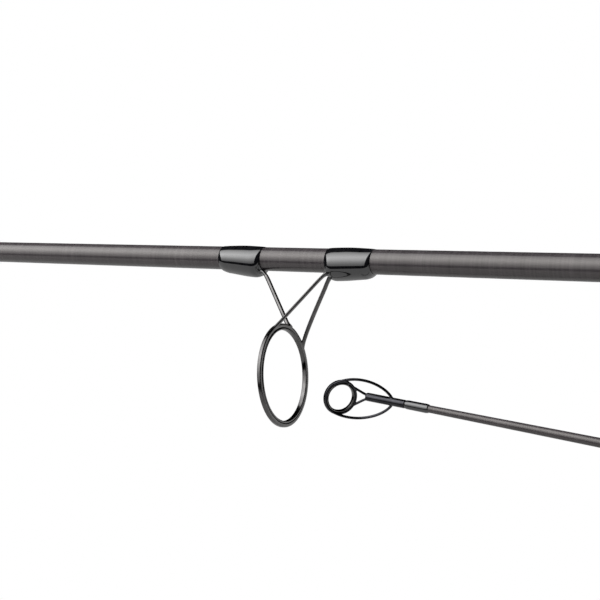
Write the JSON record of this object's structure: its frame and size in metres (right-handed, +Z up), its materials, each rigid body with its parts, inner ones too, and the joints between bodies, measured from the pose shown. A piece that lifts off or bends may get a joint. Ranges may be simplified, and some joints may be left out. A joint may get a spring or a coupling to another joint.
{
  "type": "fishing rod",
  "caption": "Take-apart spinning fishing rod with ringed line guides, foam grips and a screw-locked reel seat, its sections laid side by side.",
  "frame": {"origin": "on the floor under the middle of the box that holds both sections as they lie", "axes": "+X along the butt section towards the butt cap, +Z up from the floor; the tip section lies on the -Y side"},
  "size_m": [1.2272, 0.1708, 0.047],
  "materials": {
    "carbon": "satin carbon fibre with a clear coat",
    "epoxy": "gloss black epoxy over thread",
    "smoke_metal": "smoke-grey plated guide frame",
    "black_metal": "gloss black plated tip-top frame",
    "ring_metal": "polished grey ring insert",
    "foam": "fine closed-cell foam",
    "rubber": "soft black rubber",
    "seat_plastic": "satin black moulded composite",
    "trim_metal": "smoke-grey anodised trim"
  },
  "bodies": {
    "butt_section": {"blank_end_plug": "rubber", "butt_blank": "carbon", "butt_cap": "rubber", "butt_cap_disc": "trim_metal", "butt_guide_frame": "smoke_metal", "butt_guide_front_wrap": "epoxy", "butt_guide_rear_wrap": "epoxy", "butt_guide_ring": "ring_metal", "butt_trim_ring": "trim_metal", "fixed_hood": "seat_plastic", "foregrip": "foam", "front_winding_check": "trim_metal", "rear_grip": "foam", "rear_grip_check": "trim_metal", "reel_seat_body": "seat_plastic", "seat_arbor_front": "foam", "seat_arbor_rear": "foam", "seat_front_ring": "trim_metal", "seat_rear_check": "trim_metal"},
    "hood": {"moving_hood": "seat_plastic"},
    "nut": {"lock_nut": "seat_plastic", "lock_nut_ring": "trim_metal"},
    "tip_section": {"ferrule_sleeve": "carbon", "ferrule_whipping": "epoxy", "fifth_guide_frame": "smoke_metal", "fifth_guide_ring": "ring_metal", "fifth_guide_wrap": "epoxy", "fourth_guide_frame": "smoke_metal", "fourth_guide_ring": "ring_metal", "fourth_guide_wrap": "epoxy", "second_guide_frame": "smoke_metal", "second_guide_front_wrap": "epoxy", "second_guide_rear_wrap": "epoxy", "second_guide_ring": "ring_metal", "third_guide_frame": "smoke_metal", "third_guide_front_wrap": "epoxy", "third_guide_rear_wrap": "epoxy", "third_guide_ring": "ring_metal", "tip_blank": "carbon", "tip_top_frame": "black_metal", "tip_top_ring": "ring_metal", "tip_top_wrap": "epoxy"}
  },
  "joints": [
    {"name": "hood_slide", "type": "slide", "parent": "butt_section", "child": "hood", "axis": [-1, 0, 0], "range_m": [0, 0.02]},
    {"name": "nut_spin", "type": "hinge", "parent": "hood", "child": "nut", "pos_m": [0.05068, 0.07196, 0.01352], "axis": [-1, 0, 0], "range_deg": [0, 4800]},
    {"name": "tip_lift", "type": "slide", "parent": "butt_section", "child": "tip_section", "axis": [0, 0, 1], "range_m": [0, 0.3]}
  ],
  "couplings": [
    {"joint": "hood_slide", "follows": "nut_spin", "m_per_rad": 0.00023873}
  ]
}
